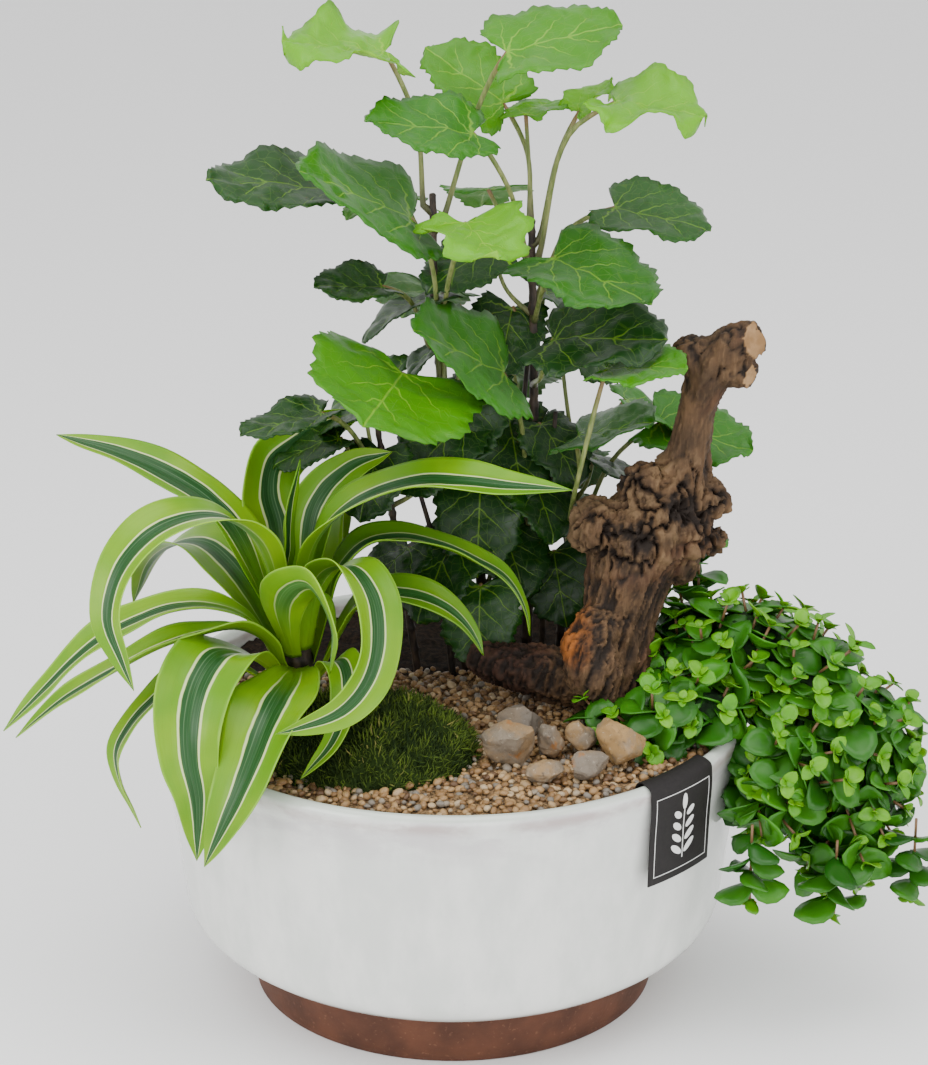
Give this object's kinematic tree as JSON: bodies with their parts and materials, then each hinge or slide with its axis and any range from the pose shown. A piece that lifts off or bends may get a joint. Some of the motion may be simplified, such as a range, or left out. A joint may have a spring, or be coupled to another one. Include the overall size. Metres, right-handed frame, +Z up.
{
  "type": "dish garden",
  "caption": "Round glazed bowl on a bare foot, planted with arching striped leaves, round toothed leaves and a creeper, with moss, stones and upright vine wood.",
  "frame": {"origin": "centre of the bowl's flat foot, on the surface it stands on", "axes": "+Z up, +Y to the back of the planting, +X to the side the creeper hangs over"},
  "size_m": [0.4654, 0.3, 0.4945],
  "materials": {
    "glaze": "gloss",
    "soil": "matte",
    "moss": "matte",
    "gravel": "matte",
    "wood": "matte",
    "label": "matte",
    "stone": "matte",
    "cane": "matte",
    "dracaena": "satin",
    "aralia": "satin",
    "creeper": "satin"
  },
  "bodies": {
    "root": {"bowl": "glaze", "potting_soil": "soil", "moss_cushion": "moss", "gravel_bed": "gravel", "vine_wood": "wood", "label_tag": "label", "stone_1": "stone", "stone_2": "stone", "stone_3": "stone", "stone_4": "stone", "stone_5": "stone", "stone_6": "stone", "stone_7": "stone", "dracaena_cane": "cane", "dracaena_leaf_far_left": "dracaena", "dracaena_leaf_left_arch": "dracaena", "dracaena_leaf_left_long": "dracaena", "dracaena_leaf_left_low": "dracaena", "dracaena_leaf_left_hanging": "dracaena", "dracaena_leaf_front_left": "dracaena", "dracaena_leaf_front": "dracaena", "dracaena_leaf_right_curl": "dracaena", "dracaena_leaf_inner_arch": "dracaena", "dracaena_leaf_front_right": "dracaena", "dracaena_leaf_right_long": "dracaena", "dracaena_leaf_right_droop": "dracaena", "dracaena_leaf_right_low": "dracaena", "dracaena_leaf_back_upright": "dracaena", "dracaena_leaf_inner_right": "dracaena", "dracaena_leaf_youngest": "dracaena", "dracaena_leaf_back_left": "dracaena", "dracaena_leaf_back_long": "dracaena", "aralia_cane_1": "cane", "aralia_cane_2": "cane", "aralia_cane_3": "cane", "aralia_cane_4": "cane", "aralia_leaf_top_left": "aralia", "aralia_leaf_top": "aralia", "aralia_leaf_top_back": "aralia", "aralia_leaf_high_left": "aralia", "aralia_leaf_young_right": "aralia", "aralia_leaf_high_right": "aralia", "aralia_leaf_far_left": "aralia", "aralia_leaf_upper_left": "aralia", "aralia_leaf_middle_young": "aralia", "aralia_leaf_upper_right": "aralia", "aralia_leaf_right": "aralia", "aralia_leaf_left_small": "aralia", "aralia_leaf_front_left": "aralia", "aralia_leaf_front": "aralia", "aralia_leaf_right_dark": "aralia", "aralia_leaf_low_right": "aralia", "aralia_leaf_right_light": "aralia", "aralia_leaf_behind_wood": "aralia", "aralia_leaf_left_edge": "aralia", "creeper_mound": "creeper", "creeper_runner_front": "creeper", "creeper_runner_middle": "creeper", "creeper_runner_right": "creeper", "creeper_runner_upright": "creeper"}
  },
  "joints": []
}
